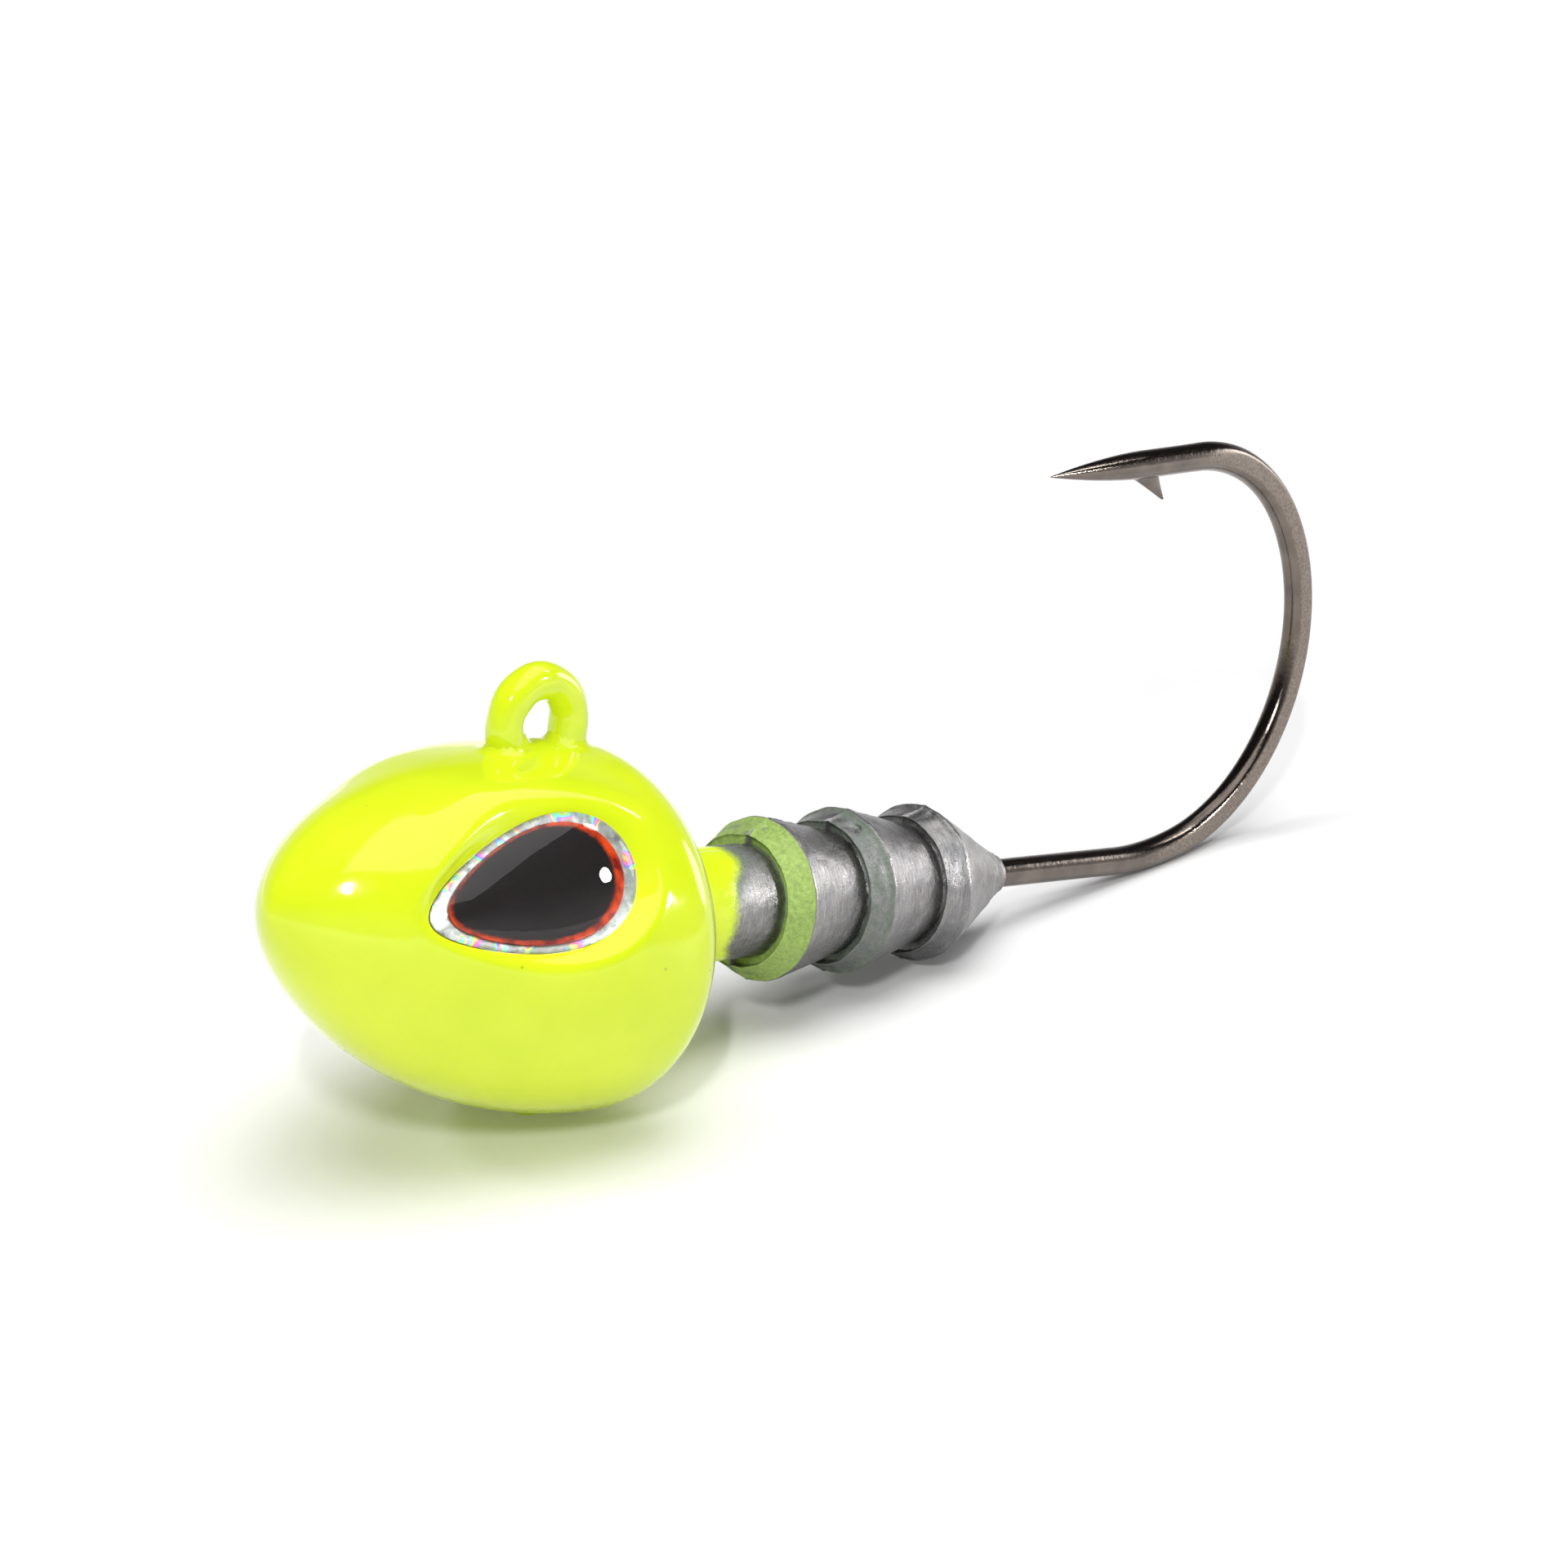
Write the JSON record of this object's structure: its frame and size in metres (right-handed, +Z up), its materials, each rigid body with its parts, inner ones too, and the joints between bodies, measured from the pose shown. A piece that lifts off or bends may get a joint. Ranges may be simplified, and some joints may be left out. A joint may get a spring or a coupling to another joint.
{
  "type": "jig head",
  "caption": "Weighted fishing jig head: egg-shaped head with inset teardrop eyes, line tie, barbed bait keeper and upturned hook.",
  "frame": {"origin": "middle of the lure's footprint, on the surface that its belly and hook bend rest on", "axes": "+Z up, -X towards the nose, +X towards the hook's bend; the hook lies in the plane Y = 0"},
  "size_m": [0.0776, 0.02, 0.0252],
  "materials": {
    "head_paint": "glossy fluorescent chartreuse",
    "bare_lead": "bare cast lead alloy, brushed and grainy, overspray near the head",
    "hook_steel": "polished black nickel",
    "eye_glue": "thin cured glue",
    "eye_foil": "holographic silver foil",
    "eye_ink": "black pupil with a red rim",
    "eye_resin": "clear domed resin"
  },
  "bodies": {
    "root": {"head_casting": "head_paint", "line_tie_coat": "head_paint", "bait_keeper": "bare_lead", "hook": "hook_steel", "eye_glue_left": "eye_glue", "eye_glue_right": "eye_glue", "eye_foil_left": "eye_foil", "eye_foil_right": "eye_foil", "eye_print_left": "eye_ink", "eye_print_right": "eye_ink", "eye_dome_left": "eye_resin", "eye_dome_right": "eye_resin"}
  },
  "joints": []
}
